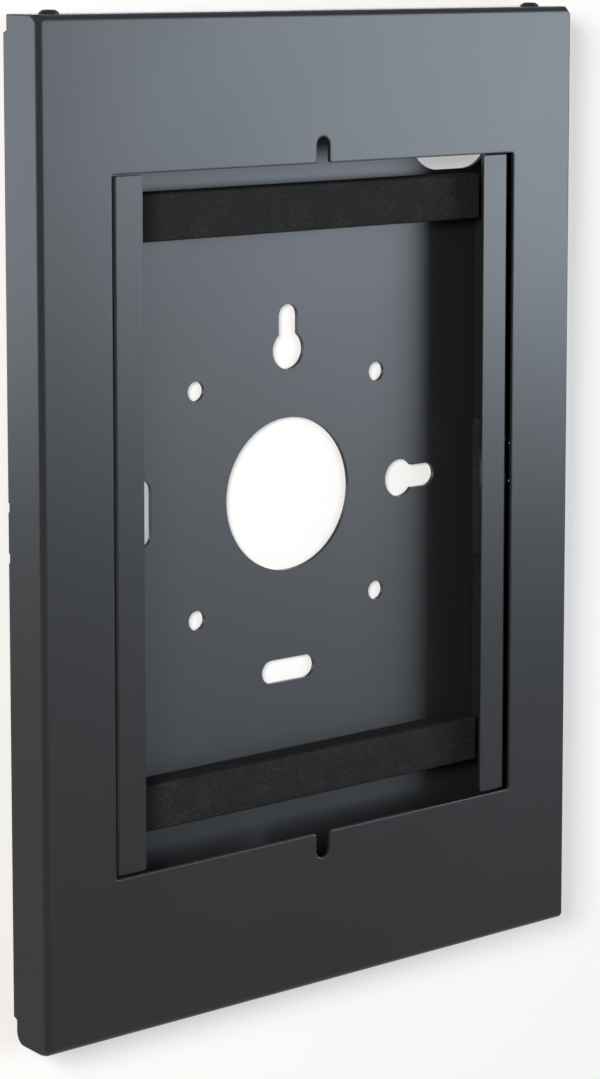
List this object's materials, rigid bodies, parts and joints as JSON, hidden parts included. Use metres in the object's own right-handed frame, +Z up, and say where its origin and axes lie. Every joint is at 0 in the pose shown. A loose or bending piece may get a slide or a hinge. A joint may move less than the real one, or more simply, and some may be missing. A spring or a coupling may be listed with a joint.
{
  "type": "tablet wall mount",
  "caption": "Folded steel wall mount that holds a ten-inch tablet upright behind a screwed front cover with a screen window.",
  "frame": {"origin": "centre of the 75 mm square wall hole pattern, on the face that lies on the wall", "axes": "+X to the right as seen from the room, +Y into the wall, +Z up"},
  "size_m": [0.2174, 0.02, 0.3223],
  "materials": {
    "cover_paint": "satin dark grey powder coat",
    "plate_paint": "satin dark grey powder coat",
    "rail_paint": "satin dark grey powder coat",
    "foam": "matt black closed-cell foam",
    "pad_rubber": "matt black rubber",
    "rivet_steel": "dull zinc plated",
    "nut_steel": "dull zinc plated",
    "screw_steel": "smooth stainless steel"
  },
  "bodies": {
    "mount": {"front_cover": "cover_paint", "back_plate": "plate_paint", "left_side_rail": "rail_paint", "right_side_rail": "rail_paint", "lower_ledge": "rail_paint", "upper_stop": "rail_paint", "upper_foam_pad": "foam", "lower_foam_pad": "foam", "left_side_pad": "foam", "right_side_pad": "foam", "ledge_pads": "pad_rubber", "stop_pad": "pad_rubber", "left_rail_rivets": "rivet_steel", "right_rail_rivets": "rivet_steel", "ledge_rivets": "rivet_steel", "stop_rivets": "rivet_steel", "left_clinch_nut": "nut_steel", "right_clinch_nut": "nut_steel"},
    "left_screw": {"left_lock_screw": "screw_steel"},
    "right_screw": {"right_lock_screw": "screw_steel"}
  },
  "joints": [
    {"name": "left_screw_out", "type": "slide", "parent": "mount", "child": "left_screw", "axis": [0, 0, 1], "range_m": [0, 0.008]},
    {"name": "right_screw_out", "type": "slide", "parent": "mount", "child": "right_screw", "axis": [0, 0, 1], "range_m": [0, 0.008]}
  ]
}
